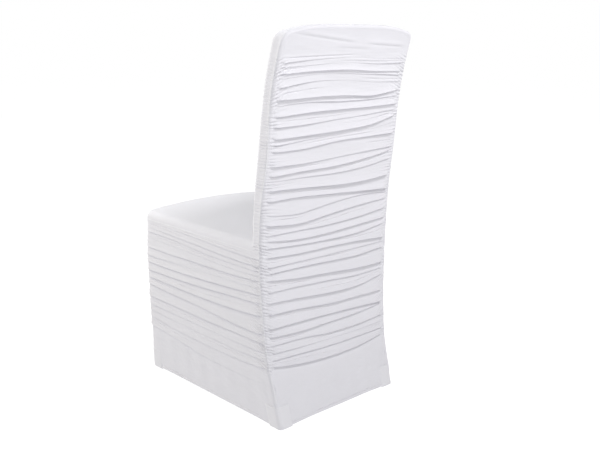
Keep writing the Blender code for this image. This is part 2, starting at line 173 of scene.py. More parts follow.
def smooth_step(x, start, end):
    """0 before start, 1 after end, and a soft rise between them."""
    t = np.clip((x - start) / (end - start), 0.0, 1.0)
    return t * t * (3 - 2 * t)


def between(x, start, full, fading, end):
    """0 outside start and end, 1 from full to fading, and soft slopes between them."""
    return smooth_step(x, start, full) * (1 - smooth_step(x, fading, end))


def bell(x, width):
    """1 at zero, and next to nothing from twice the width on."""
    return np.exp(-((x / width) ** 2))


def front_corner(z):
    """Radius in plan of the two front corners, which swell towards the seat."""
    return SKIRT_CORNER + (SEAT_CORNER - SKIRT_CORNER) * smooth_step(z, 0.30, SEAT_SEAM)


def front_line(z):
    """The front of the skirt at a height, pushed out a little by the seat cushion."""
    return FRONT - FRONT_BULGE * smooth_step(z, 0.28, 0.42)


def hem_height(distance, length):
    """The hem stands on the feet and is drawn up a little between them."""
    from_foot = np.minimum(distance, length - distance)
    return HEM_FOOT + (HEM_RISE - HEM_FOOT) * smooth_step(from_foot, 0.0, FOOT_SPAN)


print("rear face at the seat:", float(rear_face(SEAT_HEIGHT)))

# %% [markdown]
# Every cut piece is made the same way: a grid primitive is added, its points are moved onto the shape,
# and a Solidify modifier gives the cloth its thickness on the inside. The grid's UV map is laid out in
# metres along the cloth, so that the knit keeps its true scale and follows each fold.

# %% A sheet of cloth from rows of points
PIECES = {}
INNER = "inner"


def lay_uv(sheet, points):
    """Gives each corner its distance across and along the cloth, in metres."""
    across = np.linalg.norm(np.diff(points, axis=1), axis=2).mean(axis=0)
    along = np.linalg.norm(np.diff(points, axis=0), axis=2).mean(axis=1)
    u = np.concatenate([[0.0], np.cumsum(across)])
    v = np.concatenate([[0.0], np.cumsum(along)])
    corner = np.zeros(len(sheet.data.loops), dtype=np.int32)
    sheet.data.loops.foreach_get("vertex_index", corner)
    laid = np.stack([u[corner % len(u)], v[corner // len(u)]], axis=1)
    sheet.data.uv_layers[0].data.foreach_set("uv", laid.reshape(-1).astype(np.float32))


def faces_out(sheet, inside):
    """Does the sheet face away from a point inside the cover?"""
    count = len(sheet.data.polygons)
    normal, centre, area = np.zeros(count * 3), np.zeros(count * 3), np.zeros(count)
    sheet.data.polygons.foreach_get("normal", normal)
    sheet.data.polygons.foreach_get("center", centre)
    sheet.data.polygons.foreach_get("area", area)
    away = (normal.reshape(-1, 3) * (centre.reshape(-1, 3) - np.array(inside))).sum(axis=1)
    return float((away * area).sum()) > 0


def cloth_sheet(name, points, inside, thickness=CLOTH, thin_inside=1.0):
    """A sheet through rows of points. The inner wall keeps thin_inside of its faces."""
    rows, columns = points.shape[:2]
    bpy.ops.mesh.primitive_grid_add(x_subdivisions=columns - 1, y_subdivisions=rows - 1, size=1)
    sheet = bpy.context.object
    sheet.name = sheet.data.name = name
    sheet.data.vertices.foreach_set("co", points.reshape(-1).astype(np.float32))
    sheet.data.update()
    lay_uv(sheet, points)
    if not faces_out(sheet, inside):
        bpy.ops.object.mode_set(mode="EDIT")
        bpy.ops.mesh.select_all(action="SELECT")
        bpy.ops.mesh.flip_normals()
        bpy.ops.object.mode_set(mode="OBJECT")
    sheet.vertex_groups.new(name=INNER)
    bpy.ops.object.modifier_add(type="SOLIDIFY")
    wall = sheet.modifiers[-1]
    wall.thickness, wall.offset, wall.shell_vertex_group = thickness, -1, INNER
    bpy.ops.object.modifier_apply(modifier=wall.name)
    if thin_inside < 1:
        bpy.ops.object.modifier_add(type="DECIMATE")
        fewer = sheet.modifiers[-1]
        fewer.ratio, fewer.vertex_group = (1 + thin_inside) / 2, INNER
        bpy.ops.object.modifier_apply(modifier=fewer.name)
    bpy.ops.object.shade_smooth_by_angle(angle=math.radians(60))
    sheet.select_set(False)
    PIECES[name] = sheet
    print(f"{name}: {rows} x {columns} points, {len(sheet.data.polygons)} faces")


# %% [markdown]
# A gathered panel hangs in long puffs. Each puff swells slowly as it goes down, more and more steeply,
# rolls over in a narrow lip at its lower edge, and tucks back under itself into a crease. The light from
# above catches the slope over the lip, and the lip shades the cloth below it. So the rows of the grid
# follow the creases, close together near each lip.

# %% The shape of one puff
STATIONS = (-1.0, -0.5, 0.0, 0.5, 1.0)
MILLIMETRE = 0.001
LIP_REACH = 0.0050
LIP_ROUND = 0.0014
LIP_SHARE = 0.60
TUCK_IN = 0.40
LIP_SAG = 0.30
BELLY = 0.10
BELLY_ROOM = 0.034
SNUG_ROOM = 0.010
UNDERCUT_REACH = 0.0016
SAG_REACH = 0.0020
USUAL_DEPTH = 0.0032
FAINT_CREASE = 0.0008
FAINT_WIDTH = 0.0016
PLAIN_STEP = 0.0030
PLAIN_ROWS = 34


def wander(a, b, seed):
    """A smooth uneven value, about from -1 to 1, that changes with a and b."""
    first = np.sin(a + 0.7 * b + seed)
    second = np.sin(1.9 * a - 1.3 * b + 2.1 * seed)
    third = np.sin(0.45 * a + 2.6 * b + 0.7 * seed + 1.0)
    return (first + 0.6 * second + 0.4 * third) / 2


def puff(under, over, deep, deep_above):
    """Relief and sag of a puff, at distances from the crease under it and from the crease over it."""
    room = under + over + 1e-6
    snug = np.minimum(1.0, room / SNUG_ROOM)
    reach = np.minimum(LIP_REACH, 0.35 * room) + 1e-6
    belly = BELLY * np.minimum(room, BELLY_ROOM) * (over / room) ** 2 * np.minimum(1.0, deep / USUAL_DEPTH)
    swell = LIP_SHARE * deep * np.exp(-under / reach) + belly
    rolled = smooth_step(under, 0.0, LIP_ROUND)
    relief = swell * rolled - TUCK_IN * deep * (1 - rolled)
    relief = relief - deep_above * TUCK_IN * np.exp(-over / UNDERCUT_REACH)
    sag = deep * LIP_SAG * rolled * np.exp(-under / SAG_REACH)
    return relief * snug, sag * snug


def read_crease(crease, shares):
    """A crease's height and depth at each column, in metres."""
    line = curve_through(zip(STATIONS, (h * MILLIMETRE for h in crease[:5])))(shares)
    deep = curve_through(zip(STATIONS[::2], (d * MILLIMETRE for d in crease[5:])))(shares)
    return line, np.maximum(deep, 0.0)


def puff_rows(creases, top, shares, step, seed):
    """Heights, relief and sag of the rows of a gathered panel, from its top down to its last crease."""
    lines = [(np.full(len(shares), top), np.zeros(len(shares)))]
    lines += [read_crease(crease, shares) for crease in creases]
    rows = []
    for k, ((above, deep_above), (line, deep)) in enumerate(zip(lines, lines[1:])):
        line = np.minimum(line, above - 0.002)
        lines[k + 1] = (line, deep)
        count = max(9, round(float((above - line).mean()) / step))
        for t in 1 - (1 - np.arange(count) / count) ** 1.5:
            under, over = (above - line) * (1 - t), (above - line) * t
            relief, sag = puff(under, over, deep, deep_above)
            at = 0.40 + 0.12 * math.sin(1.7 * k + seed) + 0.07 * np.sin(2.6 * shares + k)
            where = smooth_step(np.sin(2.2 * shares + 2.4 * k + seed), -0.1, 0.8)
            narrow = bell((t - at) * (above - line), FAINT_WIDTH)
            slope = np.exp(-np.maximum(0.0, (at - t) * (above - line)) / 0.004) * (t < at)
            relief = relief + FAINT_CREASE * where * (slope - narrow)
            rows.append((above + (line - above) * t, relief, sag))
    last, deep = lines[-1]
    rows.append((last, -TUCK_IN * deep, np.zeros_like(deep)))
    heights, relief, sags = (np.array(part) for part in zip(*rows))
    return heights, relief, sags, deep


def plain_rows(start, end, count, deep, fading):
    """Rows from a last crease down to the hem, where the crease's pull dies away within fading."""
    shares_down = 1 - (1 - np.linspace(0, 1, count + 1)[1:]) ** 1.6
    heights = np.array([start + (end - start) * t for t in shares_down])
    relief = -TUCK_IN * deep * np.exp(-(start - heights) / fading)
    return heights, relief, np.zeros_like(relief)


def rows_to_hem(rows, low, count, fading):
    """The rows of puff_rows, carried on as plain rows down to a hem."""
    heights, relief, sag, deep = rows
    parts = plain_rows(heights[-1], low, count, deep, fading)
    return tuple(np.concatenate(pair) for pair in zip((heights, relief, sag), parts))


# %% [markdown]
# The elastic in an upright seam draws the cloth into small tight gathers, about 8 mm apart. They die away
# within 60 mm or so of the seam. Their spacing wanders, and they slant, more so low down on the back. The
# same rule gives the gathers on both sides of a seam, so they run on through it.

# %% Gathers along an elastic seam
GATHER_PITCH = 0.0082
GATHER_DEPTH = 0.0019
GATHER_REACH = 0.036
# Heights where the elastic starts, pulls fully, starts to fade and ends.
GATHER_BAND = (0.125, 0.150, 0.925, 0.945)
# Rows: height, slope of the gathers as they leave the seam.
GATHER_SLANT = ((0.0, -0.30), (0.48, -0.35), (0.60, -0.05), (0.78, 0.05), (0.88, 0.45), (1.0, 0.20))
gather_slant = curve_through(GATHER_SLANT)


def gathers(height, distance, seed, reach=GATHER_REACH, pitch=GATHER_PITCH, slanted=1.0):
    """Relief of the small gathers at a height and at a distance from the seam."""
    z = height - slanted * gather_slant(height) * distance
    phase = 2 * math.pi * z / pitch + 0.9 * np.sin(2 * math.pi * z / 0.043 + seed)
    phase = phase + 0.7 * np.sin(2 * math.pi * z / 0.071 + 2 * seed)
    pucker = np.sin(phase) + 0.3 * np.sin(2 * phase)
    strength = 0.72 + 0.28 * np.sin(2 * math.pi * z / 0.052 + 3 * seed)
    fading = np.exp(-((distance / reach) ** 1.7))
    within = between(height, *GATHER_BAND)
    return GATHER_DEPTH * pucker * strength * fading * within


def seam_columns(half, fine, step, coarse):
    """Shares across a panel from seam to seam: close together beside the seams, wider in the middle."""
    near = np.arange(0.0, fine, step)
    middle = np.linspace(fine, half, max(2, round((half - fine) / coarse)) + 1)
    right = -1 + np.concatenate([near, middle]) / half
    return np.concatenate([right, -right[-2::-1]])


# %% [markdown]
# The back of the cover is one panel from the top to the hem. Each row of the table is one crease of the
# photograph's gathers, read on a ruler laid over the back: its height at five places and how
# deep it is at three.

# %% Creases of the back
# Columns: height in mm at the left seam, left quarter, middle, right quarter and right seam, then the
# depth in mm at the left, middle and right.
REAR_CREASES = (
    (931, 938, 941, 937, 936, 2.0, 0.2, 0.6),
    (920, 925, 928, 924, 925, 1.8, 0.2, 2.4),
    (905, 911, 912, 905, 902, 2.6, 3.4, 1.6),
    (892, 901, 901, 896, 892, 0.6, 0.6, 3.2),
    (872, 885, 884, 876, 874, 2.8, 0.2, 1.2),
    (844, 847, 847, 842, 854, 3.0, 2.6, 2.8),
    (828, 834, 831, 831, 836, 0.6, 2.2, 1.4),
    (802, 809, 811, 812, 815, 2.6, 3.6, 3.4),
    (777, 779, 785, 791, 799, 2.8, 1.0, 1.8),
    (749, 752, 756, 763, 784, 3.0, 3.6, 3.0),
    (732, 739, 743, 748, 762, 2.6, 0.4, 0.4),
    (717, 718, 728, 731, 733, 2.6, 2.4, 3.6),
    (682, 680, 684, 690, 696, 3.0, 1.0, 1.8),
    (656, 660, 662, 671, 686, 3.0, 3.6, 3.2),
    (641, 643, 642, 647, 662, 0.6, 1.8, 1.6),
    (621, 617, 611, 610, 616, 3.2, 4.0, 3.2),
    (593, 593, 587, 581, 576, 2.2, 3.2, 3.6),
    (556, 549, 561, 568, 564, 0.8, 1.6, 1.8),
    (532, 523, 532, 541, 546, 3.6, 2.6, 2.0),
    (505, 503, 503, 508, 520, 1.8, 2.0, 2.0),
    (491, 481, 481, 486, 492, 2.6, 3.6, 3.0),
    (472, 465, 461, 462, 474, 2.2, 3.0, 2.4),
    (448, 442, 441, 438, 432, 2.6, 3.2, 3.2),
    (421, 419, 418, 418, 419, 2.2, 1.6, 1.6),
    (404, 404, 400, 397, 403, 2.6, 3.6, 3.0),
    (388, 376, 369, 361, 360, 3.2, 3.6, 3.6),
    (355, 352, 346, 339, 341, 1.8, 2.0, 1.8),
    (328, 321, 312, 309, 322, 2.6, 3.0, 2.4),
    (297, 291, 281, 277, 275, 2.8, 3.0, 2.4),
    (259, 256, 251, 246, 241, 2.8, 2.6, 3.0),
    (236, 229, 228, 229, 234, 3.2, 3.2, 2.8),
    (212, 208, 198, 196, 201, 1.8, 2.2, 2.0),
    (192, 184, 180, 178, 180, 2.2, 0.8, 1.2),
    (173, 167, 162, 161, 161, 2.2, 2.6, 2.2),
    (157, 141, 133, 134, 145, 3.2, 3.0, 2.6),
)
REAR_GATHER_TOP = 0.945
# The ruler's scale, where it starts in mm, and its tilt in mm from the middle to the end of a crease.
REAR_RULER = (0.9856, 4.1, 0.0)
SIDE_RULER = (0.9907, 1.4, 2.2)


def measured(crease, ruler):
    """A crease with its true heights in mm, from its readings on a ruler."""
    scale, start, tilt = ruler
    return [h * scale + start + tilt * s for h, s in zip(crease[:5], STATIONS)] + list(crease[5:])


def turned(crease):
    """A crease with its left and right swapped, for a panel that is seen from its other side."""
    return list(reversed(crease[:5])) + list(reversed(crease[5:]))


# %% [markdown]
# The top of the back is a long low arch with a round corner at each end, so the panel's last rows bend up
# into that arch. The hem is a narrow turned band with a row of stitches, which presses the cloth in.

# %% Outline of the back
HEM_GROOVE = 0.0011
HEM_RAISED = 0.0010
# Heights between which the cloth hangs loose, under the last gathers.
SLACK_BAND = (0.004, 0.03, 0.10, 0.14)


def back_half_width(z, inset):
    """Half of the width of the back at a height, inset from its outline, with its round top corners."""
    radius = TOP_CORNER - inset
    up = np.clip((z - CROWN_SPRING) / radius, 0.0, 1.0)
    return half_width(np.minimum(z, CROWN_SPRING)) - TOP_CORNER + radius * np.sqrt(1 - up * up)


def top_edge(x, inset):
    """Height of the arched top edge of the back, inset from its outline."""
    flat = half_width(HEIGHT) - TOP_CORNER
    return HEIGHT - TOP_SAG * np.minimum(np.abs(x) / flat, 1.0) ** 4 - inset


def arch_rows(shares, inset, start, count):
    """x and height of the rows that bend up from a level line into the arched top edge."""
    rows = []
    for step in np.sin(np.linspace(0, math.pi / 2, count + 1))[1:]:
        side = start + (CROWN_SPRING + TOP_CORNER - inset - start) * step
        x = shares * back_half_width(side, inset)
        arch = top_edge(x, inset) - top_edge(x[-1], inset)
        rows.append((x, side + arch * step))
    xs, heights = (np.array(part) for part in zip(*rows))
    return xs, heights


def hem_band(up):
    """Relief of the doubled hem at a height over its edge: a raised band under a row of stitches."""
    raised = HEM_RAISED * (1 - smooth_step(up, HEM_DEPTH - 0.0014, HEM_DEPTH - 0.0002))
    stitched = HEM_GROOVE * bell(up - HEM_DEPTH, 0.0010)
    return raised - stitched - HEM_RAISED * bell(up, 0.0012)


def slack(x, z, seed):
    """The soft oblique creases of the cloth that hangs loose under the last gathers."""
    loose = between(z, *SLACK_BAND)
    wide = 0.0016 * wander(44 * x + 34 * z, 50 * z - 12 * x, seed)
    return (wide + 0.0005 * wander(150 * x + 120 * z, 170 * z - 40 * x, seed + 1)) * loose


# Rows: x and height where a faint crease under the crown starts and ends, its depth, all in m.
CROWN_CREASES = (
    (0.190, 0.988, -0.020, 0.967, 0.0011),
    (-0.060, 0.964, -0.200, 0.957, 0.0013),
    (0.060, 0.956, -0.090, 0.951, 0.0006),
)


def under_crown(x, z):
    """The faint creases in the smooth cloth between the crown and the first gathers."""
    relief = np.zeros_like(z)
    for x_start, z_start, x_end, z_end, depth in CROWN_CREASES:
        along = np.clip((x - x_start) / (x_end - x_start), -0.5, 1.5)
        above = z - (z_start + (z_end - z_start) * along)
        within = between(along, -0.1, 0.25, 0.75, 1.1)
        relief = relief + depth * within * (bell(above - 0.006, 0.006) - bell(above, 0.003))
    return relief


# %% [markdown]
# The seam between the back and a side wanders a few millimetres round the rear corner. Over it lies a
# narrow padded band, which belongs to both sheets. High up on the backrest the band presses the small
# gathers flat. The band is only a soft hump in the relief, so both sheets can take it from one rule.

# %% Where the rear seam runs
# Rows: height, how far the seam lies in front of the rear face, round the corner.
SEAM_BACK = (
    (0.000, 0.0010),
    (0.160, 0.0012),
    (0.250, 0.0040),
    (0.400, 0.0080),
    (0.480, 0.0100),
    (0.600, 0.0070),
    (0.680, 0.0025),
    (0.750, 0.0040),
    (0.840, 0.0080),
    (0.930, 0.0070),
    (1.020, 0.0050),
)
SEAM_HUMP = 0.0013
HUMP_WIDTH = 0.0045
seam_back = curve_through(SEAM_BACK)


def seam_share(z, along):
    """1 on the rear seam and less beside it, at a height and a distance from the rear face."""
    return bell(along - seam_back(z), HUMP_WIDTH)


def over_seam(pucker, z, along):
    """Lays the padded band of the seam over the gathers, which it presses flat on the backrest."""
    share = seam_share(z, along)
    return pucker * (1 - 0.65 * share * smooth_step(z, 0.44, 0.60)) + SEAM_HUMP * share


# %% [markdown]
# One function makes the panel on the rear and the one on the front of the backrest, because both are cut
# alike. It adds up the creases, the small gathers of the two seams and a slight unevenness. On the rear it
# also adds the seam's band, the hem and the loose creases, which the front panel doesn't have.

# %% Panel on the back or the front of the backrest
def back_panel(name, creases, bold, face_shift, outwards, corner, bottom, step, seed, inside, thin):
    """A gathered panel of the backrest. outwards is 1 towards the rear and -1 towards the sitter."""
    inset = corner + LIP + GAP
    half = float(half_width(0.7)) - inset
    shares = seam_columns(half, 0.040, 0.0024, 0.0085)
    rows = puff_rows(creases, REAR_GATHER_TOP, shares, step, seed)
    low = bottom(shares)
    count = max(6, round(float((rows[0][-1] - low).mean()) / PLAIN_STEP))
    heights, relief, sag = rows_to_hem(rows, low, count, 0.006)
    xs = shares * back_half_width(heights, inset)
    arch_x, arch_z = arch_rows(shares, inset, REAR_GATHER_TOP, 40)
    heights = np.concatenate([arch_z[::-1], heights])
    xs = np.concatenate([arch_x[::-1], xs])
    plain = np.zeros_like(arch_x)
    relief, sag = np.concatenate([plain, relief]), np.concatenate([plain, sag])
    from_seams = (1 - np.abs(shares)) * half
    relief = bold * relief * smooth_step(from_seams, -0.001, 0.015)
    relief = relief + gathers(heights, from_seams + corner * math.pi / 2 + LIP, seed)
    soft = between(heights, 0.06, 0.12, 0.94, 0.99)
    relief = relief + 0.00028 * wander(xs * 34, heights * 300, seed) * soft
    relief = relief + 0.0006 * wander(xs * 14, heights * 60, seed + 1) * smooth_step(from_seams, 0, 0.03)
    if outwards > 0:
        relief = over_seam(relief, heights, -(from_seams + LIP + GAP))
        relief = relief + hem_band(heights - low) + slack(xs, heights, seed) + under_crown(xs, heights)
    z = heights - sag
    lean = rear_lean(z)
    length = np.sqrt(1 + lean * lean)
    y = rear_face(z) + face_shift + outwards * relief / length
    points = np.stack([xs, y, z - outwards * relief * lean / length], axis=2)
    cloth_sheet(name, points, inside, thin_inside=thin)


def hem_across(shares):
    """Height of the hem across the back or the front."""
    width = 2 * half_width(0.0)
    return hem_height((shares + 1) / 2 * width, width)


back_panel(
    "rear_cloth",
    [turned(measured(crease, REAR_RULER)) for crease in REAR_CREASES],
    bold=1.9,
    face_shift=0.0,
    outwards=1.0,
    corner=REAR_CORNER,
    bottom=hem_across,
    step=0.0012,
    seed=0.4,
    inside=SKIRT_INSIDE,
    thin=0.5,
)

# %% [markdown]
# The front of the back is cut like the rear. The photograph doesn't show it, so its creases are spaced
# evenly, and each one wanders a little. It ends in the crevice behind the seat.

# %% Front of the back
FRONT_CREASE_STEP = 0.030


def even_creases(top, bottom, seed):
    """Evenly spaced creases that wander, for a panel which is gathered like the rest but isn't shown."""
    count = int((top - bottom) / FRONT_CREASE_STEP)
    table = []
    for k in range(1, count + 1):
        middle = top - (top - bottom) * (k - 0.3) / count
        drift = [0.005 * math.sin(1.9 * k + 1.3 * s + seed) for s in range(5)]
        depth = [2.6 * (0.8 + 0.3 * math.cos(2.3 * k + 2.1 * s + seed)) for s in range(3)]
        table.append([(middle + d) / MILLIMETRE for d in drift] + depth)
    return table


back_panel(
    "inside_back_cloth",
    even_creases(REAR_GATHER_TOP, SEAT_HEIGHT + TUCK, 0.0),
    bold=1.2,
    face_shift=-BACK_THICKNESS,
    outwards=-1.0,
    corner=BACK_FRONT_CORNER,
    bottom=lambda shares: np.full(len(shares), SEAT_HEIGHT - TUCK),
    step=0.0020,
    seed=2.1,
    inside=(0.0, 0.50, 0.75),
    thin=0.6,
)

# %% [markdown]
# One long strip edges the back: up the left side, over the top and down the right side. Its cloth is
# gathered on both of its seams, so fine gathers cross it from the one to the other. It turns the corners
# and ends on the next face.

# %% The edging strip
STRIP_STEP = 0.0017
UNDER = 0.0012


def strip_path():
    """Rows along the strip: x, z, the outward direction in x and z, and the height on its side."""
    rise = np.arange(SEAT_SEAM + GAP, CROWN_SPRING, STRIP_STEP)
    flat = half_width(HEIGHT) - TOP_CORNER
    turn = np.linspace(0, math.pi / 2, 22)
    along = flat * (1 - np.linspace(0, 1, 34)[1:])
    x = np.concatenate([half_width(rise), flat + TOP_CORNER * np.cos(turn), along])
    z = np.concatenate([rise, CROWN_SPRING + TOP_CORNER * np.sin(turn), top_edge(along, 0.0)])
    a = np.concatenate([np.ones(len(rise)), np.cos(turn), np.zeros(len(along))])
    left = np.stack([x, z, a, np.sqrt(1 - a * a)], axis=1)
    right = left[-2::-1] * np.array([-1, 1, -1, 1])
    return np.concatenate([left, right])


def corner_turn(radius, count):
    """(inwards, along, share of the side's direction) round a corner, from its lip to its edge."""
    turn = np.linspace(0, math.pi / 2, count)
    rows = [(radius + LIP + UNDER, UNDER / 2, 0.0), (radius + LIP, UNDER / 4, 0.0)]
    rows.append((radius + LIP / 2, 0.0, 0.0))
    rows += [(radius * (1 - math.sin(a)), radius * (1 - math.cos(a)), math.sin(a)) for a in turn]
    return rows


def edging_strip():
    path = strip_path()
    x, z, across, up = (path[:, k] for k in range(4))
    rear_turn = corner_turn(REAR_CORNER, 6)
    front_turn = corner_turn(BACK_FRONT_CORNER, 6)[::-1]
    columns = [("rear", *place, 0.0) for place in rear_turn]
    columns += [("side", 0.0, 0.0, 1.0, t) for t in np.linspace(0, 1, 14)[1:-1]]
    columns += [("front", *place, 1.0) for place in front_turn]
    span = BACK_THICKNESS - REAR_CORNER - BACK_FRONT_CORNER
    points = []
    for kind, inwards, along, outward, share in columns:
        height = z - up * inwards
        rear = rear_face(height)
        past_turn = max(0.0, inwards - REAR_CORNER)
        if kind == "rear":
            y, from_front, from_rear = rear - along, BACK_THICKNESS, along - past_turn
            from_seam = REAR_CORNER * math.acos(outward) + past_turn
        elif kind == "side":
            y, from_rear = rear - REAR_CORNER - span * share, REAR_CORNER + span * share
            from_seam, from_front = span * share, BACK_FRONT_CORNER + span * (1 - share)
        else:
            y, from_seam, from_front = rear - BACK_THICKNESS + along, BACK_THICKNESS, along
        pucker = gathers(z, from_seam, 0.4, slanted=1.0 if kind == "rear" else 0.25)
        if kind != "rear":
            pucker = 0.7 * pucker + 0.3 * gathers(z, from_front, 2.1, reach=0.03)
        on_side = across * np.sign(x)
        pucker = pucker * smooth_step(on_side, 0.7, 1.0)
        if kind != "front":
            pucker = over_seam(pucker, z, from_rear) * smooth_step(on_side, 0.1, 0.9)
        facing = math.sqrt(max(0.0, 1 - outward * outward)) * (1 if kind == "rear" else -1)
        lies_at = x - across * (inwards - pucker * outward)
        points.append(np.stack([lies_at, y + pucker * facing, height + up * pucker * outward], axis=1))
    points = np.stack(points, axis=1)
    cloth_sheet("edging_strip_cloth", points, (0.0, 0.225, 0.75))


edging_strip()

# %% [markdown]
# A side panel covers one side of the seat and the skirt, and turns both of its upright corners. Its folds
# are softer than those of the back. They are tight at the rear seam, and fade towards the front.

# %% Creases of a side
# Columns: height in mm at the front seam, front quarter, middle, rear quarter and rear seam, then the
# depth in mm at the front, middle and rear.
SIDE_CREASES = (
    (458, 454, 449, 444, 440, 0.8, 2.0, 2.0),
    (440, 436, 431, 425, 423, 0.6, 2.4, 2.8),
    (428, 424, 415, 411, 410, 2.6, 1.6, 2.4),
    (408, 405, 400, 396, 398, 0.4, 0.8, 1.8),
    (380, 379, 380, 381, 386, 1.6, 2.4, 2.8),
    (354, 356, 358, 362, 366, 2.2, 0.4, 1.2),
    (335, 334, 337, 343, 350, 2.8, 2.8, 2.8),
    (310, 311, 315, 321, 327, 2.6, 2.6, 2.4),
    (288, 286, 285, 287, 294, 2.6, 2.6, 2.4),
    (267, 260, 255, 247, 244, 2.4, 2.2, 2.4),
    (228, 226, 222, 221, 220, 2.0, 2.0, 2.4),
    (204, 199, 196, 194, 196, 1.8, 0.8, 1.8),
    (184, 178, 174, 172, 174, 1.6, 1.0, 1.8),
    (166, 153, 147, 146, 153, 2.2, 1.2, 1.8),
    (138, 124, 108, 104, 108, 2.0, 1.0, 0.2),
)
RIGHT_SHIFT = 5.0
SIDE_BOLDNESS = 1.35


def side_columns():
    """Columns round a side panel: the kind of place, and how far along it."""
    columns = [("front lip", 0.0), ("front lip", 0.5)]
    columns += [("front turn", t) for t in np.linspace(0, 1, 9)]
    columns += [("side", t) for t in np.linspace(0, 0.9, 60)[1:]]
    columns += [("side", t) for t in np.linspace(0.9, 1, 22)[1:-1]]
    columns += [("rear turn", t) for t in np.linspace(0, 1, 6)]
    columns += [("rear lip", 0.5), ("rear lip", 1.0), ("rear lip", 1.0 + UNDER / LIP)]
    return columns


def side_place(kind, t, z):
    """Plan position and outward direction of one column of the left side, at an array of heights."""
    width, back, corner, face = half_width(z), rear_face(z), front_corner(z), front_line(z)
    one, none = np.ones_like(z), np.zeros_like(z)
    if kind == "front lip":
        return width - corner - LIP * (1 - t), face, none, -one
    if kind == "front turn":
        a = t * math.pi / 2
        x, y = width - corner + corner * math.sin(a), face + corner - corner * math.cos(a)
        return x, y, math.sin(a) * one, -math.cos(a) * one
    if kind == "side":
        y = face + corner + (back - REAR_CORNER - face - corner) * t
        return width, y, one, none
    a = t * math.pi / 2
    if kind == "rear turn":
        x = width - REAR_CORNER + REAR_CORNER * math.cos(a)
        return x, back - REAR_CORNER + REAR_CORNER * math.sin(a), math.cos(a) * one, math.sin(a) * one
    return width - REAR_CORNER - LIP * t, back - UNDER / 2 * max(0.0, t - 1), none, one


def seam_distance(kind, t, from_rear):
    """How far a column of a side panel is from the rear seam, over the round corner or along the side."""
    if kind == "rear turn":
        return REAR_CORNER * t * math.pi / 2
    if kind == "rear lip":
        return REAR_CORNER * math.pi / 2 + LIP * t
    return max(0.0, from_rear - REAR_CORNER)


def from_rear_face(kind, t, from_rear):
    """How far a column of a side panel lies in front of the rear face."""
    if kind == "rear turn":
        return REAR_CORNER * (1 - math.sin(t * math.pi / 2))
    return -LIP * t if kind == "rear lip" else from_rear


def side_cloth(name, side, seed):
    """A side of the seat and skirt. side is 1 on the left and -1 on the right."""
    columns = side_columns()
    level = np.array([float(side_place(kind, t, np.array(0.25))[1]) for kind, t in columns])
    depth = float(rear_face(0.25)) - FRONT
    shares = (level - FRONT) / depth * 2 - 1
    shift = 0.0 if side > 0 else RIGHT_SHIFT
    creases = [
        [h - shift * math.sin(0.9 * k) for h in crease[:5]] + list(crease[5:])
        for k, crease in enumerate(measured(reading, SIDE_RULER) for reading in SIDE_CREASES)
    ]
    length = float(rear_face(0.0)) - FRONT
    low = hem_height((shares + 1) / 2 * length, length)
    rows = puff_rows(creases, SEAT_SEAM, shares, 0.0012, seed)
    heights, relief, sag = rows_to_hem(rows, low, PLAIN_ROWS, 0.008)
    from_rear = (1 - shares) / 2 * depth
    from_front = (1 + shares) / 2 * depth
    relief = SIDE_BOLDNESS * relief * smooth_step(from_rear, 0.002, 0.024)
    relief = relief * smooth_step(from_front, -0.01, 0.02)
    relief = relief * (1 - smooth_step(heights, SEAT_SEAM - 0.006, SEAT_SEAM))
    places = [(kind, t, rear) for (kind, t), rear in zip(columns, from_rear)]
    from_seam = np.array([seam_distance(*place) for place in places])
    slanted = np.array([-0.4 if kind == "side" else 1.0 for kind, _ in columns])
    relief = relief + gathers(heights, from_seam, 0.4, slanted=slanted)
    relief = over_seam(relief, heights, np.array([from_rear_face(*place) for place in places]))
    below_seat = 1 - smooth_step(heights, 0.36, 0.42)
    relief = relief + gathers(heights, from_front, 3.3, reach=0.016, pitch=0.0106) * below_seat
    soft = between(heights, 0.05, 0.12, SEAT_SEAM - 0.02, SEAT_SEAM)
    relief = relief + 0.00025 * wander(level * 30, heights * 280, seed) * soft
    broad = 0.0005 * wander(level * 12, heights * 55, seed + 2) * smooth_step(from_rear, 0, 0.03)
    relief = relief + broad * soft
    relief = relief + hem_band(heights - low) + slack(level, heights, seed)
    points = np.zeros((*heights.shape, 3))
    for k, (kind, t) in enumerate(columns):
        z = heights[:, k] - sag[:, k]
        x, y, out_x, out_y = side_place(kind, t, z)
        raised = relief[:, k]
        points[:, k] = np.stack([side * (x + out_x * raised), y + out_y * raised, z], axis=1)
    cloth_sheet(name, points, SKIRT_INSIDE)


side_cloth("side_left_cloth", 1, 1.2)
side_cloth("side_right_cloth", -1, 2.7)

# %% [markdown]
# The front of the skirt hangs straight from the seat's front edge to the floor, gathered like the sides.

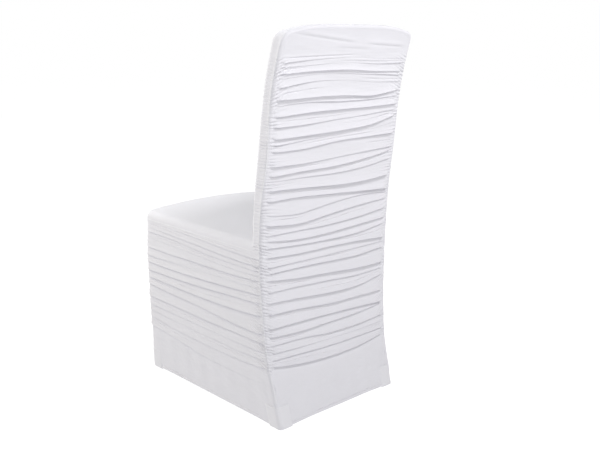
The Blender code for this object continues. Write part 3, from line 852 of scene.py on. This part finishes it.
# %% Front of the skirt
def front_cloth():
    half = float(half_width(0.2) - front_corner(0.2)) - LIP - GAP
    shares = seam_columns(half, 0.030, 0.0028, 0.0085)
    creases = even_creases(SEAT_SEAM - TUCK, 0.130, 1.0)
    low = hem_across(shares)
    rows = puff_rows(creases, SEAT_SEAM - TUCK / 2, shares, 0.0020, 1.9)
    heights, relief, sag = rows_to_hem(rows, low, PLAIN_ROWS, 0.008)
    top = np.array([np.full(len(shares), SEAT_SEAM - GAP * k) for k in (0, 5, 10, 15)])
    heights = np.concatenate([top, heights])
    relief, sag = (np.concatenate([np.zeros_like(top), part]) for part in (relief, sag))
    xs = shares * (half_width(heights) - front_corner(heights) - LIP - GAP)
    distance = (1 - np.abs(shares)) * half
    relief = relief * smooth_step(distance, -0.006, 0.014)
    below_seat = 1 - smooth_step(heights, 0.36, 0.44)
    relief = relief + gathers(heights, distance, 3.3, reach=0.020, pitch=0.0106) * below_seat
    soft = between(heights, 0.05, 0.12, SEAT_SEAM - 0.02, SEAT_SEAM)
    relief = relief + 0.00025 * wander(xs * 30, heights * 280, 0.9) * soft
    relief = relief + hem_band(heights - low) + slack(xs, heights, 0.9)
    points = np.stack([xs, front_line(heights - sag) - relief, heights - sag], axis=2)
    cloth_sheet("front_cloth", points, SKIRT_INSIDE)


front_cloth()

# %% [markdown]
# The seat is one smooth panel. Its rings run round the left, front and right of the seat, from the seam up
# over the soft edge and on to the middle, which is about two centimetres higher than the sides.

# %% Seat
# The last ring stops this far from the middle line, so the two halves all but meet there.
SEAT_MIDDLE_GAP = 0.0002


def strip_rounding(inset):
    """How far the strip's round front corner has fallen back at a distance inwards from its side."""
    beside = max(0.0, BACK_FRONT_CORNER - inset)
    return BACK_FRONT_CORNER - math.sqrt(BACK_FRONT_CORNER**2 - beside**2)


def seat_ring(inset):
    """Plan outline of the seat, inset from its edge: left side, front with its corners, right side."""
    rear_end = min(float(rear_face(SEAT_SEAM + LIP * k)) for k in range(16)) - BACK_THICKNESS - 2 * GAP
    rear_end += strip_rounding(inset + CORNER_CLEARANCE)
    width = float(half_width(SEAT_SEAM)) - inset
    front_end = float(front_line(SEAT_SEAM)) + inset
    radius = max(SEAT_CORNER - inset, min(0.006, width / 2))
    arm = np.linspace(0, 1, 42)[:-1]
    turn = np.linspace(0, math.pi / 2, 11)
    across = np.linspace(1, 0, 20)[1:]
    beside = np.full(len(arm), width)
    x = np.concatenate([beside, width - radius + radius * np.cos(turn), (width - radius) * across])
    forwards = rear_end + (front_end + radius - rear_end) * arm
    y = np.concatenate([forwards, front_end + radius * (1 - np.sin(turn)), np.full(len(across), front_end)])
    return np.concatenate([x, -x[-2::-1]]), np.concatenate([y, y[-2::-1]])


def seat_cloth():
    half = float(half_width(SEAT_SEAM))
    turn = np.linspace(0, math.pi / 2, 10)[1:]
    middle = np.linspace(SEAT_EDGE, half - SEAT_MIDDLE_GAP, 26)[1:]
    insets = np.concatenate([[0.0, 0.0], SEAT_EDGE * (1 - np.cos(turn)), middle])
    rounded = SEAT_HEIGHT - SEAT_EDGE * (1 - np.sin(turn))
    flat = np.full(len(middle), SEAT_HEIGHT)
    levels = np.concatenate([[SEAT_SEAM + GAP, SEAT_SEAM + LIP], rounded, flat])
    rows = []
    for inset, level in zip(insets, levels):
        x, y = seat_ring(inset)
        bow = SEAT_BOW * (1 - (x / half) ** 2) * smooth_step(level, SEAT_SEAM + LIP, SEAT_HEIGHT)
        crowned = (1 - (x / 0.23) ** 2) * (1 - ((y + 0.06) / 0.245) ** 2)
        z = level + bow + SEAT_CROWN * np.clip(crowned, 0, 1) * smooth_step(inset, SEAT_EDGE * 0.5, 0.06)
        z = z + 0.0006 * wander(x * 22, y * 22, 0.3) * smooth_step(inset, SEAT_EDGE, 0.07)
        rows.append(np.stack([x, y, z], axis=1))
    cloth_sheet("seat_cloth", np.array(rows), SKIRT_INSIDE)


seat_cloth()

# %% [markdown]
# Each foot of the chair stands in a small pocket, a doubled patch sewn over the cover's corner. It shows
# as a slightly thicker, paler square with a turned top edge.

# %% Foot pockets
POCKET_HEIGHT = 0.058
POCKET_REACH = 0.034
POCKET_CLOTH = 0.0012
POCKET_GAP = 0.0004
POCKET_HEM = 0.007


def pocket_outline(z, side, end, out):
    """Plan outline of a pocket's wall at a height, from the side face round the corner."""
    width = float(half_width(z)) + out
    radius = (REAR_CORNER if end > 0 else float(front_corner(z))) + out
    face = float(rear_face(z)) + out if end > 0 else FRONT - out
    centre = (width - radius, face - end * radius)
    turn = np.linspace(0, math.pi / 2, 9)
    reach = 1 - np.linspace(0, 1, 13)[:-1] ** 1.4
    flat = np.ones(len(reach))
    back_x = centre[0] - POCKET_REACH * reach[::-1]
    x = np.concatenate([width * flat, centre[0] + radius * np.cos(turn), back_x])
    y_side = centre[1] - end * POCKET_REACH * reach
    y = np.concatenate([y_side, centre[1] + end * radius * np.sin(turn), face * flat])
    from_edge = POCKET_REACH * np.concatenate([1 - reach, np.ones(len(turn)), 1 - reach[::-1]])
    return side * x, y, from_edge


def foot_pocket(name, side, end):
    out = POCKET_GAP + POCKET_CLOTH
    rows = []
    for z in POCKET_HEIGHT * (1 - np.linspace(0, 1, 36) ** 1.5):
        band = 0.0003 * smooth_step(z, POCKET_HEIGHT - POCKET_HEM, POCKET_HEIGHT - POCKET_HEM + 0.001)
        groove = 0.0004 * bell(z - POCKET_HEIGHT + POCKET_HEM, 0.0010)
        x, y, from_edge = pocket_outline(z, side, end, out + band - groove)
        flush_x, flush_y, _ = pocket_outline(z, side, end, 0.0002)
        thick = smooth_step(POCKET_HEIGHT - z, -0.001, 0.003) * smooth_step(from_edge, -0.001, 0.005)
        x, y = flush_x + (x - flush_x) * thick, flush_y + (y - flush_y) * thick
        rows.append(np.stack([x, y, np.full(len(x), z)], axis=1))
    wall = rows[-1]
    middle = len(wall) // 2
    heart = wall[middle] + (wall[0] + wall[-1] - 2 * wall[middle]) * 0.72
    for share in (0.06, 0.2, 0.4, 0.62):
        rows.append(wall + (heart - wall) * share)
    inside = (heart[0], heart[1], POCKET_HEIGHT / 2)
    cloth_sheet(name, np.array(rows), inside, thickness=POCKET_CLOTH)


POCKET_ENDS = (("rear", 1), ("front", -1))
POCKET_SIDES = (("left", 1), ("right", -1))
for end_name, end in POCKET_ENDS:
    for side_name, side in POCKET_SIDES:
        foot_pocket(f"foot_pocket_cloth_{end_name}_{side_name}", side, end)

# %% [markdown]
# The pieces meet in narrow overlocked seams. Each seam is a fine rolled ridge, a curve with a round
# section, which its elastic pinches every four millimetres. It bridges the hairline between two sheets.

# %% Rolled seams
SEAM_RADIUS = 0.0013
SEAM_SINK = 0.0006
SEAT_SEAM_RADIUS = 0.0018
SEAT_SEAM_SINK = 0.0013
SEAM_STEP = 0.0014
SEAM_FOOT = 0.003
PINCH_PITCH = 0.0042


def running_length(path):
    """How far along a path each of its points lies."""
    return np.concatenate([[0.0], np.cumsum(np.linalg.norm(np.diff(path, axis=0), axis=1))])


def resampled(path):
    """The same path with points at an even spacing."""
    length = running_length(path)
    at = np.linspace(0, length[-1], max(2, round(length[-1] / SEAM_STEP)))
    return np.stack([np.interp(at, length, path[:, k]) for k in range(3)], axis=1)


def seam_ridge(name, path, radius=SEAM_RADIUS, pinched=0.35):
    """A rolled seam along rows of points."""
    path = resampled(path)
    curve = bpy.data.curves.new(name, "CURVE")
    curve.dimensions = "3D"
    spline = curve.splines.new("POLY")
    spline.points.add(len(path) - 1)
    for point, at, s in zip(spline.points, path, running_length(path)):
        point.co = (*at, 1.0)
        uneven = 0.7 + 0.3 * math.sin(s * 190)
        point.radius = 1 + pinched * math.sin(2 * math.pi * s / PINCH_PITCH) * uneven
    curve.bevel_depth = radius
    curve.bevel_resolution = 2
    curve.use_fill_caps = True
    seam = bpy.data.objects.new(name, curve)
    bpy.context.scene.collection.objects.link(seam)
    bpy.context.view_layer.objects.active = seam
    seam.select_set(True)
    bpy.ops.object.convert(target="MESH")
    seam = bpy.context.object
    bpy.ops.object.mode_set(mode="EDIT")
    bpy.ops.mesh.select_all(action="SELECT")
    bpy.ops.mesh.remove_doubles(threshold=0.00001)
    bpy.ops.object.mode_set(mode="OBJECT")
    bpy.ops.object.shade_smooth()
    seam.select_set(False)
    PIECES[name] = seam
    print(f"{name}: {len(path)} points")


def rear_seam(name, side):
    """The seam round a rear corner, from the hem up to the crown, where it runs out."""
    turn = np.linspace(0, 1.15, 16)[1:]
    rise = np.linspace(SEAM_FOOT, CROWN_SPRING, 500)
    z = np.concatenate([rise, CROWN_SPRING + TOP_CORNER * np.sin(turn)])
    across = np.concatenate([np.ones(len(rise)), np.cos(turn)])
    along = seam_back(z)
    beside = np.maximum(REAR_CORNER - along, 0.0)
    inset = REAR_CORNER - np.sqrt(REAR_CORNER**2 - beside**2)
    lift = SEAM_HUMP - SEAM_SINK - 0.0012 * smooth_step(1 - across, 0.0, 0.55)
    towards_rear = beside / REAR_CORNER
    outward = np.sqrt(1 - towards_rear**2)
    centre = half_width(np.minimum(z, CROWN_SPRING)) - TOP_CORNER
    x = centre + (TOP_CORNER - inset + lift * outward) * across
    z = np.where(z > CROWN_SPRING, z - (inset - lift * outward) * np.sqrt(1 - across**2), z)
    y = rear_face(z) - along + lift * towards_rear
    seam_ridge(name, np.stack([side * x, y, z], axis=1))


def inside_seam():
    """The strip's seam on the front of the back: up one side, over the top, down the other."""
    inset = BACK_FRONT_CORNER + LIP
    rise = np.linspace(SEAT_HEIGHT, CROWN_SPRING, 300)
    flat = float(half_width(HEIGHT)) - TOP_CORNER
    turn = np.linspace(0, math.pi / 2, 24)[1:]
    radius = TOP_CORNER - inset
    along = flat * np.linspace(1, 0, 60)[1:]
    x = np.concatenate([half_width(rise) - inset, flat + radius * np.cos(turn), along])
    z = np.concatenate([rise, CROWN_SPRING + radius * np.sin(turn), top_edge(along, inset)])
    half = np.stack([x, rear_face(z) - BACK_THICKNESS + SEAM_SINK, z], axis=1)
    seam_ridge("seam_inside_back", np.concatenate([half, half[-2::-1] * np.array([-1, 1, 1])]))


def front_seam(name, side):
    """The seam beside a front corner, from the hem up to the seat."""
    z = np.linspace(SEAM_FOOT, SEAT_SEAM, 200)
    x = side * (half_width(z) - front_corner(z) - LIP)
    seam_ridge(name, np.stack([x, front_line(z) + SEAM_SINK, z], axis=1))


inside_seam()
for side_name, side in POCKET_SIDES:
    rear_seam(f"seam_rear_{side_name}", side)
    front_seam(f"seam_front_{side_name}", side)


def seat_seam():
    """The seam under the seat's edge, from one rear corner round the front to the other."""
    x, y = seat_ring(SEAT_SEAM_SINK)
    rear_end = float(rear_face(SEAT_SEAM)) - REAR_CORNER
    x, y = np.concatenate([[x[0]], x, [x[-1]]]), np.concatenate([[rear_end], y, [rear_end]])
    path = np.stack([x, y, np.full(len(x), SEAT_SEAM)], axis=1)
    seam_ridge("seam_seat", path, SEAT_SEAM_RADIUS, pinched=0.05)


seat_seam()

# %% [markdown]
# Shader maths reads best as ordinary sums, so one small class wraps a node's socket. Adding or
# multiplying two of them adds a Math node, and one method makes every other node.

# %% Shader sums
class Shade:
    """A socket in a material's node tree, for use in sums and products."""

    def __init__(self, tree, socket):
        self.tree = tree
        self.socket = socket

    def node(self, kind, settings=(), inputs=(), output=0):
        """Adds a node: its settings are set first, then the values or links of its sockets."""
        added = self.tree.nodes.new(kind)
        for key, value in dict(settings).items():
            setattr(added, key, value)
        for key, value in dict(inputs).items():
            if isinstance(value, Shade):
                self.tree.links.new(value.socket, added.inputs[key])
            else:
                added.inputs[key].default_value = value
        return Shade(self.tree, added.outputs[output])

    def maths(self, operation, first, second=0.0):
        return self.node("ShaderNodeMath", {"operation": operation}, {0: first, 1: second})

    def __add__(self, other):
        return self.maths("ADD", self, other)

    def __mul__(self, other):
        return self.maths("MULTIPLY", self, other)

    __radd__ = __add__
    __rmul__ = __mul__

    def sine(self):
        return self.maths("SINE", self)


# %% [markdown]
# The cloth is a fine white jersey of polyester and elastane. Close up it has upright columns of small
# stitches, a little over a millimetre apart, and it is never quite the same white all over. The columns
# are a bump that follows the UV map. The mottling is soft noise in the colour and the roughness.

# %% Knitted cloth
COLUMN_PITCH = 0.0013
COURSE_PITCH = 0.0010


def knitted(name, white, shade, roughness, bump):
    material = bpy.data.materials.new(name)
    material.use_nodes = True
    tree = material.node_tree
    surface = tree.nodes["Principled BSDF"]
    start = Shade(tree, None)
    laid = start.node("ShaderNodeTexCoord", output="UV")
    placed = start.node("ShaderNodeTexCoord", output="Object")
    split = start.node("ShaderNodeSeparateXYZ", inputs={0: laid})
    u, v = split, Shade(tree, split.socket.node.outputs[1])
    columns = (u * (2 * math.pi / COLUMN_PITCH)).sine()
    courses = (v * (2 * math.pi / COURSE_PITCH) + 1.2 * columns).sine()
    fuzz = start.node("ShaderNodeTexNoise", inputs={"Vector": placed, "Scale": 900.0, "Detail": 2.0})
    stitches = 0.6 * columns + 0.4 * courses + 0.8 * fuzz
    cloudy = start.node("ShaderNodeTexNoise", inputs={"Vector": placed, "Scale": 9.0, "Detail": 4.0})
    colour = start.node(
        "ShaderNodeMix",
        {"data_type": "RGBA"},
        {"Factor": 0.25 + 0.5 * cloudy + 0.05 * columns, "A": (*shade, 1.0), "B": (*white, 1.0)},
        output=2,
    )
    raised = start.node(
        "ShaderNodeBump", inputs={"Height": stitches, "Strength": bump, "Distance": 0.00025}
    )
    tree.links.new(colour.socket, surface.inputs["Base Color"])
    tree.links.new((roughness - 0.08 + 0.16 * cloudy).socket, surface.inputs["Roughness"])
    tree.links.new(raised.socket, surface.inputs["Normal"])
    surface.inputs["Metallic"].default_value = 0.0
    surface.inputs["Specular IOR Level"].default_value = 0.25
    surface.inputs["Sheen Weight"].default_value = 0.12
    surface.inputs["Sheen Roughness"].default_value = 0.5
    return material


jersey = knitted("white_jersey", (0.76, 0.752, 0.795), (0.70, 0.692, 0.73), 0.82, 0.35)
doubled = knitted("doubled_jersey", (0.778, 0.771, 0.808), (0.722, 0.715, 0.748), 0.84, 0.35)
# The seam thread is a little lighter than the jersey: partly a whiter thread, partly a painted highlight
# that lifts the seams out of the shade of the gathers beside them.
thread_with_painted_highlight = knitted("seam_thread_with_painted_highlight", (0.795, 0.788, 0.822), (0.755, 0.748, 0.78), 0.78, 0.25)

for name, piece in PIECES.items():
    finish = thread_with_painted_highlight if name.startswith("seam") else doubled if name.startswith("foot") else jersey
    piece.data.materials.clear()
    piece.data.materials.append(finish)

# %% [markdown]
# Each sheet stands for its solid, which is hidden, and every piece rides on the one body, root. The table
# gives the size each sheet was cut to: the gathered pieces were cut much longer than they hang.

# %% Stand for the solids
# Sheet: the solid that it stands for, its cut width and length, and how it is held.
SHEETS = {
    "rear_cloth": ("rear_panel", (0.44, 1.25), "gathered"),
    "inside_back_cloth": ("inside_back", (0.43, 0.66), "gathered"),
    "edging_strip_cloth": ("boxing_strip", (0.065, 1.90), "gathered"),
    "side_left_cloth": ("side_panel_left", (0.57, 0.56), "gathered"),
    "side_right_cloth": ("side_panel_right", (0.57, 0.56), "gathered"),
    "front_cloth": ("front_skirt", (0.41, 0.56), "gathered"),
    "seat_cloth": ("seat_panel", (0.49, 0.50), "stretched"),
}
for end_name, _ in POCKET_ENDS:
    for side_name, _ in POCKET_SIDES:
        place = f"{end_name}_{side_name}"
        SHEETS[f"foot_pocket_cloth_{place}"] = (f"foot_pocket_{place}", (0.095, 0.072), "stretched")

for name, piece in PIECES.items():
    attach(piece, "root")
    if name in SHEETS:
        solid, (width, length), held = SHEETS[name]
        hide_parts(solid)
print(len(PIECES), "pieces,", len(SHEETS), "of them sheets")

# %% [markdown]
# The studio is plain: a wide pale floor and a white surround, with four soft lights. One hangs above and
# behind the cover, a weak broad one stands on the camera's side, a warm one in front on the left, and a
# small cool one hangs above the front. Light from above makes the upper slope of each fold bright and
# leaves the crease below it in shade. The floor is nearly white by its own glow. It neither shades nor
# lights the cover, because the surround already gives the light that a bright floor would send back.

# %% Studio
FLOOR_SIZE = 14
FLOOR_LEVEL = -0.0006
FLOOR_GREY = 0.25
FLOOR_GLOW = 0.95
WHITE = (1.0, 1.0, 1.0)


def floor():
    bpy.ops.mesh.primitive_plane_add(size=FLOOR_SIZE, location=(0, 0, FLOOR_LEVEL))
    ground = bpy.context.object
    ground.name = "floor"
    material = bpy.data.materials.new("pale_floor")
    material.use_nodes = True
    surface = material.node_tree.nodes["Principled BSDF"]
    surface.inputs["Base Color"].default_value = (FLOOR_GREY, FLOOR_GREY, FLOOR_GREY, 1.0)
    surface.inputs["Roughness"].default_value = 0.9
    surface.inputs["Emission Color"].default_value = (*WHITE, 1.0)
    surface.inputs["Emission Strength"].default_value = FLOOR_GLOW
    ground.data.materials.append(material)
    material.cycles.emission_sampling = "NONE"
    ground.visible_diffuse = ground.visible_glossy = ground.visible_shadow = False
    ground.select_set(False)


def soft_light(name, location, aimed_at, size, watts, colour):
    bpy.ops.object.light_add(type="AREA", location=location)
    light = bpy.context.object
    light.name = name
    light.data.shape = "DISK"
    light.data.size = size
    light.data.energy = watts
    light.data.color = colour
    aim(light, location, np.array(aimed_at) - np.array(location), (0, 0, 1))
    light.select_set(False)
    print(f"light {name}: {watts} W, {size} m wide")


floor()
soft_light("above_rear", (-0.3, 1.5, 2.4), (0, 0.25, 0.7), 0.6, 28, WHITE)
soft_light("behind", (1.9, 2.0, 1.8), (0, 0.1, 0.5), 1.2, 14, WHITE)
soft_light("left", (1.2, -2.0, 1.9), (0, 0, 0.48), 1.0, 44, (1.0, 0.97, 0.87))
soft_light("front", (0.2, -0.9, 2.3), (0, -0.1, 0.48), 0.8, 10, (0.86, 0.93, 1.0))

FROM_FLOOR = 1.02
FROM_WALLS = 1.0
FROM_CEILING = 0.26
SOFTENING = (0.06, 0.16)


def white_surround():
    """The light that comes back from a bright floor, from white walls and from a dimmer ceiling."""
    world = bpy.data.worlds.new("white_surround")
    world.use_nodes = True
    tree = world.node_tree
    placed = Shade(tree, None).node("ShaderNodeTexCoord", output="Generated")
    up = placed.node("ShaderNodeSeparateXYZ", inputs={0: placed}, output=2)

    def ramp(start, end, first, last):
        ends = {"From Min": start, "From Max": end, "To Min": first, "To Max": last}
        return up.node("ShaderNodeMapRange", inputs={"Value": up, **ends})

    near, far = SOFTENING
    share = ramp(-far, -near, FROM_FLOOR, FROM_WALLS) * ramp(near, far, FROM_WALLS, FROM_CEILING)
    tree.links.new(share.socket, tree.nodes["Background"].inputs["Strength"])
    tree.nodes["Background"].inputs["Color"].default_value = (*WHITE, 1.0)
    bpy.context.scene.world = world


white_surround()
bpy.context.scene.view_settings.view_transform = "Standard"
